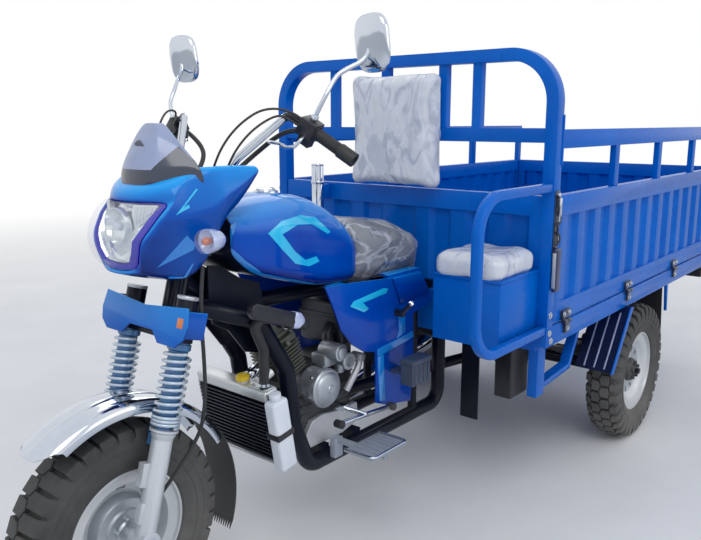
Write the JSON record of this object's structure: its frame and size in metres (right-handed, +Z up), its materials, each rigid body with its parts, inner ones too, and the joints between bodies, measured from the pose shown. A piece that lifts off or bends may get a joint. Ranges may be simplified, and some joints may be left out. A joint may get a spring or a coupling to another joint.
{
  "type": "cargo motor tricycle",
  "caption": "Motor tricycle with a tank and fairing in front and an open cargo bed with folding slatted sides and a tube headboard behind the rider.",
  "frame": {"origin": "on the ground, under the middle of the whole vehicle", "axes": "+Z up, +X to the vehicle's left, the front wheel towards -Y, the tailgate towards +Y"},
  "size_m": [1.252, 3.584, 1.5846],
  "materials": {
    "blue_paint": "gloss",
    "fairing_plastic": "gloss",
    "tank_paint": "gloss",
    "black_paint": "satin",
    "chrome": "polished",
    "fork_silver": "satin",
    "engine_alloy": "cast",
    "rim_silver": "satin",
    "tyre_rubber": "matte",
    "black_rubber": "matte",
    "black_plastic": "matte",
    "smoked_screen": "gloss",
    "lamp_glass": "clear",
    "signal_lens": "clear",
    "red_lens": "clear",
    "seat_vinyl": "satin",
    "wrapped_cushion": "satin",
    "bottle_plastic": "satin",
    "radiator_alloy": "satin",
    "spring_steel": "satin"
  },
  "bodies": {
    "chassis": {"main_frame": "black_paint", "engine": "engine_alloy", "exhaust": "chrome", "radiator": "radiator_alloy", "coolant_bottle": "bottle_plastic", "coolant_hose": "black_rubber", "fuel_tank": "tank_paint", "rider_seat": "seat_vinyl", "side_panels": "fairing_plastic", "footrests": "chrome", "foot_controls": "chrome", "bed_floor": "blue_paint", "bed_frame": "blue_paint", "headboard_hoop": "blue_paint", "front_panel": "blue_paint", "side_guard_loop": "blue_paint", "gate_latches": "black_plastic", "seat_box": "blue_paint", "backrest_pad": "wrapped_cushion", "canopy_post": "chrome", "rear_axle": "black_paint", "leaf_springs": "black_paint", "rear_fenders": "blue_paint", "rear_mud_flaps": "black_rubber", "tail_lights": "red_lens", "plate_bracket": "black_paint", "battery_box": "black_plastic", "air_box": "black_plastic", "tool_box": "black_plastic"},
    "steering": {"front_fork": "fork_silver", "fork_springs": "spring_steel", "front_fender": "chrome", "front_fender_flap": "black_rubber", "fork_cover": "fairing_plastic", "headlight_fairing": "fairing_plastic", "headlight": "lamp_glass", "windshield": "smoked_screen", "front_turn_signals": "signal_lens", "handlebar": "fork_silver", "hand_controls": "black_plastic", "mirrors": "chrome", "brake_hose": "black_rubber", "control_cables": "black_rubber"},
    "front_wheel": {"front_tyre": "tyre_rubber", "front_rim": "rim_silver"},
    "rear_left_wheel": {"rear_tyre_left": "tyre_rubber", "rear_rim_left": "rim_silver"},
    "rear_right_wheel": {"rear_tyre_right": "tyre_rubber", "rear_rim_right": "rim_silver"},
    "left_gate": {"left_gate": "blue_paint", "left_guard_rail": "blue_paint"},
    "right_gate": {"right_gate": "blue_paint", "right_guard_rail": "blue_paint"},
    "tailgate": {"tailgate": "blue_paint"},
    "seat_box_lid": {"seat_box_lid": "blue_paint", "seat_box_cushion": "wrapped_cushion"}
  },
  "joints": [
    {"name": "steering_turn", "type": "hinge", "parent": "chassis", "child": "steering", "pos_m": [0, -1.46374, 0.2726], "axis": [0, 0.2756, 0.9613], "range_deg": [-35, 35]},
    {"name": "front_wheel_spin", "type": "hinge", "parent": "steering", "child": "front_wheel", "pos_m": [0, -1.507, 0.285], "axis": [1, 0, 0], "continuous": true},
    {"name": "rear_left_wheel_spin", "type": "hinge", "parent": "chassis", "child": "rear_left_wheel", "pos_m": [0.56, 0.588, 0.285], "axis": [1, 0, 0], "continuous": true},
    {"name": "rear_right_wheel_spin", "type": "hinge", "parent": "chassis", "child": "rear_right_wheel", "pos_m": [-0.56, 0.588, 0.285], "axis": [1, 0, 0], "continuous": true},
    {"name": "left_gate_drop", "type": "hinge", "parent": "chassis", "child": "left_gate", "pos_m": [0.612, 0.7, 0.663], "axis": [0, 1, 0], "range_deg": [0, 165]},
    {"name": "right_gate_drop", "type": "hinge", "parent": "chassis", "child": "right_gate", "pos_m": [-0.612, 0.7, 0.663], "axis": [0, -1, 0], "range_deg": [0, 165]},
    {"name": "tailgate_drop", "type": "hinge", "parent": "chassis", "child": "tailgate", "pos_m": [0, 1.784, 0.663], "axis": [-1, 0, 0], "range_deg": [0, 180]},
    {"name": "seat_box_lid_open", "type": "hinge", "parent": "chassis", "child": "seat_box_lid", "pos_m": [0.322, -0.43, 0.846], "axis": [0, -1, 0], "range_deg": [0, 95]}
  ]
}
